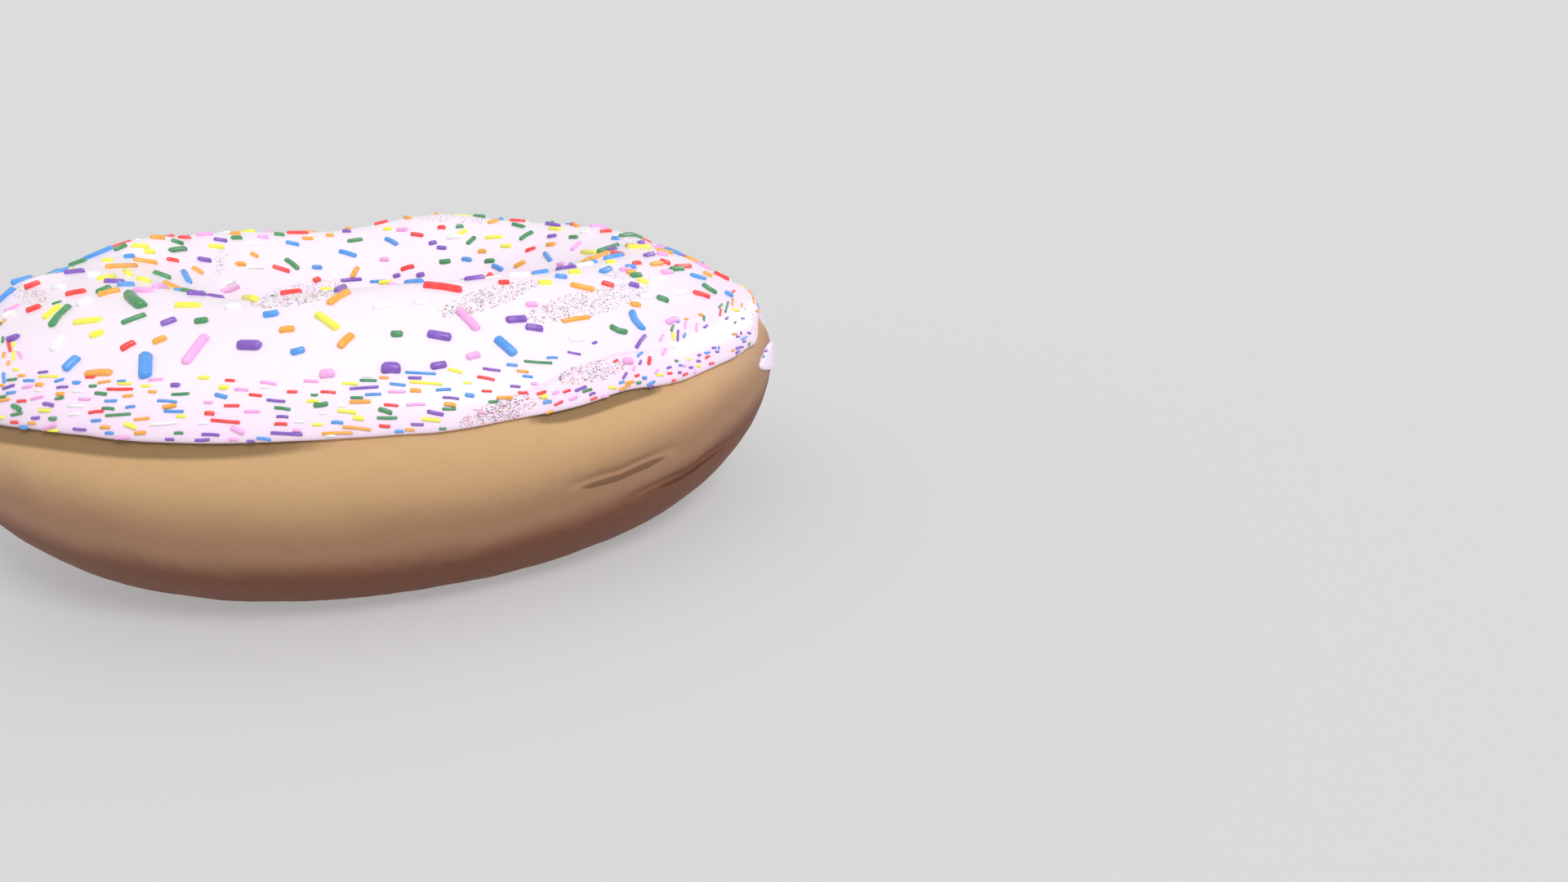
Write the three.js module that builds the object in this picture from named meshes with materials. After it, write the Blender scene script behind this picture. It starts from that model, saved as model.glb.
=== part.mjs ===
// A ring doughnut: a fried dough ring under a thick coat of frosting that runs down into the hole.
//
// Millimetres, +Z up. The origin is on the surface that the ring rests on, under the middle of the
// doughnut's bounding box. The front of the doughnut is its -Y side. An azimuth is an angle in degrees
// round +Z from +X, so the front is at -90, and a section angle runs round the ring's own section:
// 0 at its outermost point, 90 at the crest, 180 in the hole and -90 underneath.

import * as THREE from 'three';

// ---- driving dimensions -----------------------------------------------------------------------

const WIDEST_RADIUS = 49.9; // the dough's outermost radius
const SECTION_HALF_WIDTH = 17.1; // half the width of the dough's section
const WAIST_HEIGHT = 18.1; // height of the widest level
const DOUGH_HEIGHT = 30.6; // height of the dough's crest, under the frosting
const REST_FLAT = 0.85; // how much of the round underside is pressed flat
const TOP_FULLNESS = 1.45; // superellipse power above the waist: 2 is an ellipse, less is more peaked
const BASE_FULLNESS = 1.73; // and below the waist

const FROSTING_THICKNESS = 1.6; // over the crest
const LIP_BEAD = 0.3; // how much thicker the frosting has set just above its outer lip
const BEAD_PLACE = 0.09; // where the bead is, as a share of the way from lip to lip
const BEAD_WIDTH = 0.07; // and how wide it is
const OUTER_LIP_ROUND = 0.055; // the share of that way over which the outer lip is rounded
const INNER_LIP_ROUND = 0.08; // and the inner lip
const FROSTING_GAP = 0.35; // clearance between the frosting and the dough
const LIP_EDGE = 0.3; // thickness that the round lip runs out to
const OUTER_LIP_HEIGHT = 21.5; // where the frosting ends on the outside of the ring
const INNER_LIP_HEIGHT = 20.2; // and in the hole

const ROUND_STEPS = 92; // faces round the ring
const DOUGH_STEPS = 24; // faces round the dough's section
const SKIN_STEPS = 16; // faces across the frosting's outer skin
const LINING_STEPS = 12; // faces across its underside

// ---- how uneven it is -------------------------------------------------------------------------

// Slow swells of the outline: waves round the ring, height of the wave, and azimuth of its first peak.
const OUTLINE_SWELLS = [
  { waves: 2, rise: 0.3, peak: 20 },
  { waves: 3, rise: 0.22, peak: -15 },
  { waves: 5, rise: 0.14, peak: 20 },
];
const HOLE_SWELLS = [
  { waves: 2, rise: 0.45, peak: 75 },
  { waves: 3, rise: 0.35, peak: 20 },
];

// Bulges and dents of the outline: azimuth, rise, and how far each way round the ring it spreads.
const OUTLINE_LUMPS = [
  { at: -26, rise: 0.4, spread: 11 },
  { at: 4, rise: -1.3, spread: 15 },
  { at: 176, rise: -1.2, spread: 18 },
];

// Lumps and hollows along the crest, listed in the same way.
const CREST_LUMPS = [
  { at: 145, rise: 0.6, spread: 20 },
  { at: 104, rise: -1.2, spread: 15 },
  { at: 75, rise: 1.3, spread: 12 },
  { at: 4, rise: -0.9, spread: 14 },
  { at: -85, rise: 0.8, spread: 24 },
  { at: -118, rise: -0.8, spread: 10 },
];

// Where the outer lip leaves its level: a bare notch, a run beside it, and soft runs round the back.
const OUTER_RUNS = [
  { at: -130, rise: 0.3, spread: 12 },
  { at: -54, rise: 0.3, spread: 12 },
  { at: -23, rise: 3.4, spread: 4.5 },
  { at: -13, rise: -2.4, spread: 5 },
  { at: 24, rise: -1.6, spread: 11 },
  { at: 52, rise: 1.1, spread: 12 },
  { at: 86, rise: -2.2, spread: 8 },
  { at: 128, rise: -1.2, spread: 14 },
  { at: 160, rise: 0.9, spread: 12 },
  { at: -168, rise: -1.7, spread: 9 },
];
const INNER_RUNS = [
  { at: -150, rise: 1.4, spread: 22 },
  { at: -60, rise: -1.8, spread: 20 },
  { at: 20, rise: 1.2, spread: 18 },
  { at: 95, rise: -1.4, spread: 24 },
];

// ---- helpers ----------------------------------------------------------------------------------

const radians = THREE.MathUtils.degToRad;

// The sum of slow waves at an azimuth.
function swell(azimuth, swells) {
  return swells.reduce((sum, s) => sum + s.rise * Math.cos(s.waves * radians(azimuth - s.peak)), 0);
}

// The sum of bell-shaped lumps at an azimuth.
function lumps(azimuth, list) {
  return list.reduce((sum, lump) => {
    const turn = THREE.MathUtils.euclideanModulo(azimuth - lump.at + 180, 360) - 180;
    return sum + lump.rise * Math.exp(-((turn / lump.spread) ** 2));
  }, 0);
}

// The dough's section at an azimuth: its middle, its half-width, its height over the waist and its
// depth under it.
function sectionAt(azimuth) {
  const outer = WIDEST_RADIUS + swell(azimuth, OUTLINE_SWELLS) + lumps(azimuth, OUTLINE_LUMPS);
  const inner = WIDEST_RADIUS - 2 * SECTION_HALF_WIDTH + swell(azimuth, HOLE_SWELLS);
  return {
    middle: (outer + inner) / 2,
    halfWidth: (outer - inner) / 2,
    over: DOUGH_HEIGHT - WAIST_HEIGHT + lumps(azimuth, CREST_LUMPS),
    under: WAIST_HEIGHT + REST_FLAT,
  };
}

const signedPower = (value, power) => Math.sign(value) * Math.abs(value) ** power;

// A point of the dough's section as (radius, height), lifted off the dough by `lift` along its normal.
function onSection(azimuth, sectionAngle, lift) {
  const section = sectionAt(azimuth);
  const across = Math.cos(radians(sectionAngle));
  const up = Math.sin(radians(sectionAngle));
  const fullness = up > 0 ? TOP_FULLNESS : BASE_FULLNESS;
  const tall = up > 0 ? section.over : section.under;
  const radius = section.middle + section.halfWidth * signedPower(across, 2 / fullness);
  const height = WAIST_HEIGHT + tall * signedPower(up, 2 / fullness);
  const normal = new THREE.Vector2(
    signedPower(across, 2 - 2 / fullness) / section.halfWidth,
    signedPower(up, 2 - 2 / fullness) / tall,
  ).normalize();
  return new THREE.Vector2(radius + lift * normal.x, height + lift * normal.y);
}

// The section angle, on the outside of the ring, at which the dough has a given height.
function angleAtHeight(azimuth, height) {
  const section = sectionAt(azimuth);
  const above = height > WAIST_HEIGHT;
  const share = Math.abs(height - WAIST_HEIGHT) / (above ? section.over : section.under);
  const angle = Math.asin(Math.min(1, share) ** ((above ? TOP_FULLNESS : BASE_FULLNESS) / 2));
  return THREE.MathUtils.radToDeg(above ? angle : -angle);
}

// A ring whose section at each azimuth is the closed loop of (radius, height) that `place` gives for
// each of `count` points. The lathe makes the faces from a blank of any size, and each vertex is then
// put in its place.
function ring(count, place) {
  const blank = Array.from({ length: count + 1 }, (_, i) => {
    const turn = (2 * Math.PI * i) / count;
    return new THREE.Vector2(2 + Math.cos(turn), Math.sin(turn));
  });
  const geometry = new THREE.LatheGeometry(blank, ROUND_STEPS);
  geometry.rotateX(Math.PI / 2);
  const position = geometry.getAttribute('position');
  for (let step = 0; step <= ROUND_STEPS; step++) {
    const azimuth = -(360 * (step % ROUND_STEPS)) / ROUND_STEPS + 90;
    for (let i = 0; i <= count; i++) {
      const { x: radius, y: height } = place(azimuth, i % count);
      const along = radians(azimuth);
      position.setXYZ(step * (count + 1) + i, radius * Math.cos(along), radius * Math.sin(along), height);
    }
  }
  geometry.computeVertexNormals();
  return geometry;
}

// ---- the pieces -------------------------------------------------------------------------------

// The dough: round all over, and pressed flat where it rests.
function doughGeometry() {
  return ring(DOUGH_STEPS, (azimuth, i) => {
    const point = onSection(azimuth, -(360 * i) / DOUGH_STEPS, 0);
    point.y = Math.max(0, point.y);
    return point;
  });
}

// How thick the frosting is at a share of the way from its inner lip, 0, to its outer lip, 1.
function frostingThickness(share) {
  const roundLip = (fromLip, length) => Math.sqrt(1 - (1 - Math.min(1, fromLip / length)) ** 2);
  const lips = roundLip(share, INNER_LIP_ROUND) * roundLip(1 - share, OUTER_LIP_ROUND);
  const bead = LIP_BEAD * Math.exp(-(((1 - share - BEAD_PLACE) / BEAD_WIDTH) ** 2));
  return (FROSTING_THICKNESS + bead) * lips;
}

// The frosting: an outer skin over the crest from its inner lip to its outer lip, and a lining that
// runs back along the dough. The skin's faces are closest together at the round lips.
function frostingGeometry() {
  const count = SKIN_STEPS + LINING_STEPS + 2;
  return ring(count, (azimuth, i) => {
    const outerLip = angleAtHeight(azimuth, OUTER_LIP_HEIGHT + lumps(azimuth, OUTER_RUNS));
    const innerLip = 180 - angleAtHeight(azimuth, INNER_LIP_HEIGHT + lumps(azimuth, INNER_RUNS));
    const onSkin = i <= SKIN_STEPS;
    const share = onSkin
      ? (1 - Math.cos((Math.PI * i) / SKIN_STEPS)) / 2
      : 1 - (i - SKIN_STEPS - 1) / LINING_STEPS;
    const lift = onSkin ? Math.max(LIP_EDGE, frostingThickness(share)) : 0;
    return onSection(azimuth, THREE.MathUtils.lerp(innerLip, outerLip, share), FROSTING_GAP + lift);
  });
}

function piece(name, geometry, color, roughness) {
  const material = new THREE.MeshStandardMaterial({ color, roughness, metalness: 0 });
  const mesh = new THREE.Mesh(geometry, material);
  mesh.name = name;
  return mesh;
}

// ---- the doughnut -----------------------------------------------------------------------------

const doughnut = new THREE.Group();
doughnut.add(
  piece('dough', doughGeometry(), '#c9995f', 0.75),
  piece('frosting', frostingGeometry(), '#fbe6f6', 0.3),
);

// The middle of the bounding box goes over the origin.
const middle = new THREE.Box3().setFromObject(doughnut).getCenter(new THREE.Vector3());
doughnut.position.set(-middle.x, -middle.y, 0);

export default doughnut;
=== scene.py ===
# %% [markdown]
# # A sprinkle frosted doughnut
#
# A ring of yeast dough is fried, cooled, dipped top down in warm icing, and scattered with sugar
# sprinkles before the icing sets. The pieces are made here in that order: the dough, the icing that
# lies on it, the sprinkles pressed into the icing, and the fine sugar that rubs off them.
#
# Lengths are metres, +Z is up, and the front of the doughnut is its -Y side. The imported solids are
# loaded first, because every piece is fitted to them.

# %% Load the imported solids
import math
import random
from collections import namedtuple

import bpy
from mathutils import Matrix, Vector
from mathutils.bvhtree import BVHTree
from mathutils.kdtree import KDTree


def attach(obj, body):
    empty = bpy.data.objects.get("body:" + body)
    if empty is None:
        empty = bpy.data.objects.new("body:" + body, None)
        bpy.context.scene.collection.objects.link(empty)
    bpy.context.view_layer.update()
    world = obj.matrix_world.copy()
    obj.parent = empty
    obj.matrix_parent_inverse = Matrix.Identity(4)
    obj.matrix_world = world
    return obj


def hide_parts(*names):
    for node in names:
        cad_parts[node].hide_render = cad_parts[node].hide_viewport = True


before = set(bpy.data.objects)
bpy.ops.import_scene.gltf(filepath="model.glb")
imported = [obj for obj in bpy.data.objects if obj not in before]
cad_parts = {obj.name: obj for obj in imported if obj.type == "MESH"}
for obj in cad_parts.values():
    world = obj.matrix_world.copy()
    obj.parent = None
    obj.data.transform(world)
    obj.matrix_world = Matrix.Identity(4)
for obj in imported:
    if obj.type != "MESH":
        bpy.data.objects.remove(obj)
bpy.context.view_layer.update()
MM = 0.001

# %% [markdown]
# ## The camera
#
# The view is close and low, with a wide lens, so the near side of the ring looms and the far side
# falls away. The camera is set before the pieces, because some of them are placed by where they
# should show in the frame. Its place is measured from the ring's own axis.

# %% Set the camera
RING_AXIS = Vector((-0.28, -0.6, 0)) * MM  # where the axis of the hole meets the floor
CAMERA_FROM_AXIS = Vector((0, -147.8, 51.2)) * MM
TURNED_RIGHT = math.radians(20.44)
TILTED_DOWN = math.radians(18.03)
FRAME_WIDTH, FRAME_HEIGHT = 1920, 1080  # pixels
FOCAL_PIXELS = 1303.7  # how far in front of the lens a pixel-sized square would look one pixel wide
SENSOR_WIDTH = 36  # millimetres, as lenses are named

bpy.ops.object.camera_add(
    location=RING_AXIS + CAMERA_FROM_AXIS,
    rotation=(math.radians(90) - TILTED_DOWN, 0, -TURNED_RIGHT),
)
camera = bpy.context.object
camera.name = "camera"
camera.data.sensor_width = SENSOR_WIDTH
camera.data.lens = SENSOR_WIDTH * FOCAL_PIXELS / FRAME_WIDTH
camera.data.clip_start = 5 * MM
bpy.context.scene.camera = camera
bpy.context.view_layer.update()
EYE = camera.matrix_world.translation.copy()
print("lens:", round(camera.data.lens, 2), "mm, eye at", [round(c / MM, 1) for c in EYE])

# %% [markdown]
# ## Working by hand, in code
#
# Blender's operators act on whatever is selected, so each step first says what that is. These few
# helpers do what a modeller's hands do: pick up one piece, open it on some of its points or faces,
# and finish it with a modifier that is applied at once.

# %% Pick up a piece, and open it in edit mode
def pick_up(piece):
    """Makes this piece the only one selected, and the one that operators act on."""
    bpy.ops.object.select_all(action="DESELECT")
    piece.select_set(True)
    bpy.context.view_layer.objects.active = piece


def open_on(piece, kind, wanted):
    """Opens a piece in edit mode, with only the wanted points or faces selected."""
    pick_up(piece)
    bpy.ops.object.mode_set(mode="EDIT")
    bpy.ops.mesh.select_mode(type={"points": "VERT", "faces": "FACE"}[kind])
    bpy.ops.mesh.select_all(action="DESELECT")
    bpy.ops.object.mode_set(mode="OBJECT")
    for element in piece.data.vertices if kind == "points" else piece.data.polygons:
        element.select = bool(wanted(element))
    bpy.ops.object.mode_set(mode="EDIT")


def close(piece):
    """Leaves edit mode."""
    bpy.ops.object.mode_set(mode="OBJECT")
    piece.data.update()


def finish_with(piece, kind, **settings):
    """Adds a modifier with these settings, and applies it."""
    pick_up(piece)
    modifier = piece.modifiers.new(kind.title(), kind)
    for name, value in settings.items():
        setattr(modifier, name, value)
    bpy.ops.object.modifier_apply(modifier=modifier.name)


def count(piece):
    """How many triangles a piece has, in thousands."""
    return round(sum(len(face.vertices) - 2 for face in piece.data.polygons) / 1000, 1)


# %% [markdown]
# ## The dough ring
#
# Proved dough swells into a ring that is round in section, a little flatter on top. A torus is that
# shape already, so it is the start: its top is pressed down and its underside stretched in edit mode,
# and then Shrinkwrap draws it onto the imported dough, whose dents and lumps it takes on. Smooth takes
# off the flat facets that it also picks up.

# %% Start the ring as a torus
RING_RADIUS = 32.8 * MM  # from the axis to the middle of the dough's section
SECTION_RADIUS = 17.1 * MM
WAIST_HEIGHT = 18.1 * MM  # the level at which the ring is widest
DOUGH_HEIGHT = 30.6 * MM


def add_ring(name, steps_round, steps_of_section):
    """A torus at the ring's size, pressed to its height over and under the waist."""
    bpy.ops.object.select_all(action="DESELECT")
    bpy.ops.mesh.primitive_torus_add(
        location=RING_AXIS + Vector((0, 0, WAIST_HEIGHT)),
        major_segments=steps_round,
        minor_segments=steps_of_section,
        major_radius=RING_RADIUS,
        minor_radius=SECTION_RADIUS,
    )
    bpy.ops.object.transform_apply(location=True, rotation=True, scale=True)
    ring = bpy.context.object
    ring.name = name
    for over_waist, height in ((True, DOUGH_HEIGHT - WAIST_HEIGHT), (False, WAIST_HEIGHT)):
        open_on(ring, "points", lambda point: (point.co.z > WAIST_HEIGHT) == over_waist)
        bpy.ops.transform.resize(
            value=(1, 1, height / SECTION_RADIUS), center_override=(0, 0, WAIST_HEIGHT)
        )
        close(ring)
    return ring


dough = add_ring("fried_dough", steps_round=128, steps_of_section=40)
print("torus pressed to", round(dough.dimensions.z / MM, 1), "mm high")

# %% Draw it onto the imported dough
FACET_SMOOTHING = dict(factor=0.5, iterations=3)

finish_with(dough, "SHRINKWRAP", target=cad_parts["dough"], wrap_method="NEAREST_SURFACEPOINT")
finish_with(dough, "SMOOTH", **FACET_SMOOTHING)
finish_with(dough, "SUBSURF", levels=2, render_levels=2)
print("fried_dough:", count(dough), "thousand triangles")

# %% [markdown]
# ## Creases
#
# Where the ring was turned over in the oil, its skin folded and fried in place. A crease is pressed in
# along a line, like the mark of a soft brush: each point of the dough is marked by how near it is, and
# a Displace modifier pushes by that mark. The same helper raises a ridge when it is told to push
# outwards, and a ledge when it may not reach as far below the line. The mesh is made finer along the
# line first, or the crease would be no sharper than a face is wide. Each line is drawn by where it
# shows in the frame, and its points are found by following the line of sight onto the piece.

# %% Draw a line on a piece through the frame
Dot = namedtuple("Dot", "x y")  # a place in the frame, in pixels from its top left corner


def surface_of(piece):
    """A piece's faces in a tree, in which the one that a ray meets is found quickly."""
    places = [point.co.copy() for point in piece.data.vertices]
    return BVHTree.FromPolygons(places, [tuple(face.vertices) for face in piece.data.polygons])


def line_of_sight(dot):
    """The direction from the eye through a place in the frame."""
    ahead = Vector((dot.x - FRAME_WIDTH / 2, FRAME_HEIGHT / 2 - dot.y, -FOCAL_PIXELS))
    return (camera.matrix_world.to_3x3() @ ahead).normalized()


def meets(surface, dot):
    """Where the line of sight meets a surface, and the way it faces there; None if it misses."""
    place, facing, _, _ = surface.ray_cast(EYE, line_of_sight(dot))
    return (place, facing) if place else None


def line_on(surface, corners, stride=0.5):
    """Places on a surface along the straight stretches between some dots of the frame."""
    line = []
    for start, end in zip(corners, corners[1:]):
        steps = round(math.dist(start, end) / stride)
        for step in range(steps):
            share = step / steps
            dot = Dot(start.x + (end.x - start.x) * share, start.y + (end.y - start.y) * share)
            found = meets(surface, dot)
            if found:
                line.append(found[0])
    return line


# %% Brush along a line, and push by the brush's marks
FAINTEST_MARK = 0.01


def tree_of(places):
    """The places in a tree, in which the nearest to another place is found quickly."""
    tree = KDTree(len(places))
    for index, place in enumerate(places):
        tree.insert(place, index)
    tree.balance()
    return tree


def refine_along(piece, line, reach, cuts=3):
    """Cuts the faces near a line into smaller ones."""
    nearest = tree_of(line)
    open_on(piece, "faces", lambda face: nearest.find(face.center)[2] < reach)
    bpy.ops.mesh.subdivide(number_cuts=cuts)
    close(piece)


def brush_along(piece, line, reach, reach_below=None, tapered=False):
    """How strongly a soft brush drawn along a line marks each point of a piece, from 0 to 1."""
    nearest = tree_of(line)
    marks = []
    for point in piece.data.vertices:
        place, index, away = nearest.find(point.co)
        below = reach_below and point.co.z < place.z
        mark = math.exp(-((away / (reach_below if below else reach)) ** 2))
        if tapered:
            mark *= math.sin(math.pi * (index + 0.5) / len(line)) ** 0.5
        marks.append(mark)
    return marks


def push_along(piece, line, height, reach, reach_below=None, tapered=False):
    """Raises a piece by this height along a line, or presses it in, fading out over the reach."""
    brush = piece.vertex_groups.new(name="brush")
    for index, mark in enumerate(brush_along(piece, line, reach, reach_below, tapered)):
        if mark > FAINTEST_MARK:
            brush.add([index], mark, "REPLACE")
    finish_with(piece, "DISPLACE", vertex_group="brush", strength=height, mid_level=0)
    piece.vertex_groups.remove(piece.vertex_groups["brush"])


# %% Press in the creases
CREASES = [
    (Dot(696, 598), Dot(760, 580), Dot(830, 548)),
    (Dot(764, 614), Dot(840, 580), Dot(908, 530)),
]
CREASE_DEPTH = 0.6 * MM
CREASE_REACH = 0.9 * MM
CREASE_REACH_BELOW = 0.5 * MM

dough_surface = surface_of(dough)
crease_lines = [line_on(dough_surface, crease) for crease in CREASES]
for line in crease_lines:
    refine_along(dough, line, 2 * CREASE_REACH)
    push_along(dough, line, -CREASE_DEPTH, CREASE_REACH, CREASE_REACH_BELOW, tapered=True)
print("creases:", len(crease_lines), "fried_dough:", count(dough), "thousand triangles")

# %% [markdown]
# At the right end the dough rose more, and stands out a little under the icing. The same brush swells
# it there, as a wide soft ridge.

# %% Swell the shoulder at the right end
SHOULDER_SWELL = (Dot(906, 380), Dot(925, 403))
SHOULDER_SWELL_HEIGHT = 1.2 * MM
SHOULDER_SWELL_REACH = 3 * MM

shoulder_line = line_on(dough_surface, SHOULDER_SWELL)
push_along(dough, shoulder_line, SHOULDER_SWELL_HEIGHT, SHOULDER_SWELL_REACH)
dough_surface = surface_of(dough)
print("shoulder swollen along", len(shoulder_line), "places")

# %% [markdown]
# ## The icing
#
# Icing is a sheet that lies on the dough, so it starts as a second torus with everything below its two
# lips taken away. The lips are levelled, as the icing was when the ring was lifted out of the bowl,
# and then dragged down where it ran and up where it drew back, with a soft falloff. Shrinkwrap
# lays the sheet on the dough, Solidify gives it its thickness, mostly outwards and a little into the
# dough so that no light gets between, and Subdivision rounds its lips.

# %% Cut the sheet, and level its lips
OUTER_LIP_HEIGHT = 20.6 * MM
INNER_LIP_HEIGHT = 19.6 * MM
SHEET_FROM_ANGLE = 16  # degrees up the section, on the outside
SHEET_TO_ANGLE = 171  # and over the crest, down into the hole


def polar(place):
    """A place as its azimuth in degrees, its distance from the axis, and its angle up the section."""
    across = Vector((place.x - RING_AXIS.x, place.y - RING_AXIS.y))
    up_section = math.atan2(place.z - WAIST_HEIGHT, across.length - RING_RADIUS)
    return math.degrees(math.atan2(across.y, across.x)), across.length, math.degrees(up_section)


icing = add_ring("icing", steps_round=144, steps_of_section=44)
open_on(icing, "faces", lambda face: not SHEET_FROM_ANGLE < polar(face.center)[2] < SHEET_TO_ANGLE)
bpy.ops.mesh.delete(type="FACE")
close(icing)
finish_with(icing, "SHRINKWRAP", target=dough, wrap_method="NEAREST_SURFACEPOINT")


def rim_of(sheet):
    """The indices of the points on a sheet's open edges."""
    uses = {}
    for face in sheet.data.polygons:
        for edge in face.edge_keys:
            uses[edge] = uses.get(edge, 0) + 1
    return {point for edge, faces in uses.items() if faces == 1 for point in edge}


rim = rim_of(icing)
outer_rim = {i for i in rim if polar(icing.data.vertices[i].co)[1] > RING_RADIUS}
inner_rim = rim - outer_rim
for edge, height in ((outer_rim, OUTER_LIP_HEIGHT), (inner_rim, INNER_LIP_HEIGHT)):
    open_on(icing, "points", lambda point: point.index in edge)
    bpy.ops.transform.resize(value=(1, 1, 0), center_override=(0, 0, height))
    close(icing)
print("icing sheet:", len(icing.data.polygons), "faces,", len(rim), "points on its lips")

# %% Let the lips run
Run = namedtuple("Run", "azimuth rise reach")  # degrees, and millimetres
OUTER_RUNS = [
    Run(-130, 0.4, 12),
    Run(-86, -0.3, 8),
    Run(-62, 0.7, 8),
    Run(-30, -0.4, 3),
    Run(-20, 3.2, 7),
    Run(-13, -4.4, 6.5),
    Run(24, -1.6, 15),
    Run(52, 1.1, 16),
    Run(86, -2.2, 12),
    Run(128, -1.2, 18),
    Run(160, 0.9, 16),
    Run(-168, -1.7, 13),
]
INNER_RUNS = [Run(-150, 1.4, 9), Run(-60, -1.8, 8), Run(20, 1.2, 8), Run(95, -1.4, 9)]


def turn_between(azimuth, other):
    """The smaller angle between two azimuths, in degrees."""
    return abs((azimuth - other + 180) % 360 - 180)


def let_run(sheet, edge, run):
    """Drags the lip up or down at an azimuth, with a soft falloff."""
    nearest = min(edge, key=lambda i: turn_between(polar(sheet.data.vertices[i].co)[0], run.azimuth))
    open_on(sheet, "points", lambda point: point.index == nearest)
    bpy.ops.transform.translate(
        value=(0, 0, run.rise * MM),
        use_proportional_edit=True,
        use_proportional_connected=True,
        proportional_edit_falloff="SMOOTH",
        proportional_size=run.reach * MM,
    )
    close(sheet)


for run in OUTER_RUNS:
    let_run(icing, outer_rim, run)
for run in INNER_RUNS:
    let_run(icing, inner_rim, run)
finish_with(icing, "SHRINKWRAP", target=dough, wrap_method="NEAREST_SURFACEPOINT")
lip_heights = [icing.data.vertices[i].co.z / MM for i in outer_rim]
print("the outer lip runs from", round(min(lip_heights), 1), "to", round(max(lip_heights), 1), "mm")

# %% Give it thickness, less towards its lips, and round them
ICING_THICKNESS = 1.95 * MM  # over the dough
ICING_SUNK = 0.35 * MM  # and into it
LIP_SHARE = 0.5  # of that thickness, at the lips
LIP_TAPER = 3.2 * MM  # how far from a lip the icing has its whole thickness
LIP_CREASE = 0.45  # how little Subdivision rounds the lip, from 0 to 1


def thickness_of(over_dough):
    """Solidify's settings for icing this thick over the dough, with its underside sunk in it."""
    whole = over_dough + ICING_SUNK
    return dict(thickness=whole, offset=2 * over_dough / whole - 1)


lip_places = {i: icing.data.vertices[i].co.copy() for i in rim}
lip_tree = tree_of(list(lip_places.values()))
thick = icing.vertex_groups.new(name="thick")
for point in icing.data.vertices:
    thick.add([point.index], min(1.0, lip_tree.find(point.co)[2] / LIP_TAPER), "REPLACE")
finish_with(
    icing,
    "SOLIDIFY",
    **thickness_of(ICING_THICKNESS),
    vertex_group="thick",
    thickness_vertex_group=LIP_SHARE,
    use_even_offset=True,
    edge_crease_rim=LIP_CREASE,
)
finish_with(icing, "SUBSURF", levels=2, render_levels=2)
print("icing:", count(icing), "thousand triangles")

# %% [markdown]
# Beside the place where the lip drew back, on the right, the icing ran down and spread sideways. The
# sheet's lip can't turn back under itself, so the run's tip is an oval of its own, laid on the dough,
# given its thickness like the sheet, and joined to it.

# %% Find a way along the surface
def outwards(azimuth):
    """The level direction away from the axis, at an azimuth in degrees."""
    azimuth = math.radians(azimuth)
    return Vector((math.cos(azimuth), math.sin(azimuth), 0))


def along_surface(facing, lean):
    """The direction along a surface that leans so many degrees off level."""
    level = Vector((0, 0, 1)).cross(facing).normalized()
    return Matrix.Rotation(math.radians(lean), 3, facing) @ level


def turn_to(along, facing):
    """The turn that lays X along a surface and Z outwards."""
    return Matrix((along, facing.cross(along), facing)).transposed()


# %% Let the tip of the run spread
TIP_AZIMUTH = -21.2
TIP_HEIGHT = 18.6 * MM
TIP_SIZE = Vector((19.5, 3.3, 1)) * MM  # along the ring and up the side; it has no thickness yet
TIP_LEAN = -5  # degrees: its front end is the higher one
TIP_THICKNESS = 0.35 * MM
TIP_CORNERS = 32

out = outwards(TIP_AZIMUTH)
beside = RING_AXIS + out * 2 * RING_RADIUS + Vector((0, 0, TIP_HEIGHT))
place, facing, _, _ = dough_surface.ray_cast(beside, -out)
bpy.ops.object.select_all(action="DESELECT")
bpy.ops.mesh.primitive_circle_add(vertices=TIP_CORNERS, radius=0.5, fill_type="TRIFAN")
tip = bpy.context.object
turn = turn_to(along_surface(facing, TIP_LEAN), facing)
tip.matrix_world = Matrix.Translation(place) @ turn.to_4x4() @ Matrix.Diagonal(TIP_SIZE).to_4x4()
bpy.ops.object.transform_apply(location=True, rotation=True, scale=True)
finish_with(tip, "SUBSURF", subdivision_type="SIMPLE", levels=2, render_levels=2)
finish_with(tip, "SHRINKWRAP", target=dough, wrap_method="NEAREST_SURFACEPOINT")
finish_with(tip, "SOLIDIFY", **thickness_of(TIP_THICKNESS))
finish_with(tip, "SUBSURF", levels=1, render_levels=1)
icing.select_set(True)
bpy.context.view_layer.objects.active = icing
bpy.ops.object.join()
print("tip of the run at:", [round(c / MM, 1) for c in place])

# %% [markdown]
# The icing set while it was still moving, so its surface is never quite even. On the right a second
# layer slid over the first and stopped, which left one long low ledge, and on the left it set in two
# gobs. The dough's skin is rippled only now, so that the icing's underside, which was laid on the
# smooth dough, reaches a little way into it all over.


# %% Ripple a surface
def ripple(piece, size, height):
    """Moves a surface in and out by a smooth noise of this size and height."""
    noise = bpy.data.textures.new(f"{piece.name}_ripple", "CLOUDS")
    noise.noise_scale = size
    finish_with(piece, "DISPLACE", texture=noise, texture_coords="LOCAL", strength=height, mid_level=0.5)


ICING_WAVE = dict(size=12 * MM, height=0.45 * MM)
ICING_DIMPLE = dict(size=3.4 * MM, height=0.07 * MM)
SKIN_SWELL = dict(size=7 * MM, height=0.3 * MM)
SKIN_PUCKER = dict(size=1.9 * MM, height=0.1 * MM)
RESTING_SLACK = 0.12 * MM  # points this near the floor are pressed flat on it

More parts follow.
